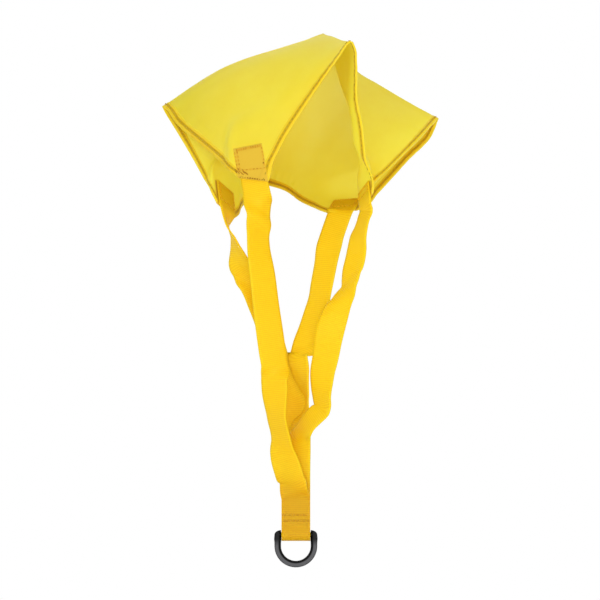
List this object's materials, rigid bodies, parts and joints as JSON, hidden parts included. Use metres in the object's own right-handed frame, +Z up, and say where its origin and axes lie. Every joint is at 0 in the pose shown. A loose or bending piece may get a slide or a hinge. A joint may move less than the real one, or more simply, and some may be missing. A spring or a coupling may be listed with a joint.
{
  "type": "swim parachute",
  "caption": "Square drag canopy of coated fabric, with webbing legs from its corners to a moulded D-ring, hanging by its crown; towed by a swimmer as resistance.",
  "frame": {"origin": "the crown of the canopy, the middle of the square panel, where the part hangs", "axes": "+Z up; the canopy's mouth opens towards -Y and down; +X to the right seen from the mouth's side"},
  "size_m": [0.2409, 0.2011, 0.4641],
  "materials": {
    "canopy": "coated nylon cloth with a soft sheen",
    "webbing": "flat woven polyester webbing, dull",
    "ring": "moulded acetal, satin"
  },
  "bodies": {
    "canopy_and_webbing": {"canopy": "canopy", "left_webbing": "webbing", "right_webbing": "webbing"},
    "tether_ring": {"d_ring": "ring"}
  },
  "joints": [
    {"name": "ring_swing", "type": "hinge", "parent": "canopy_and_webbing", "child": "tether_ring", "pos_m": [-0.0236, -0.1, -0.43539], "axis": [1, 0, 0], "range_deg": [-150, 150]}
  ]
}
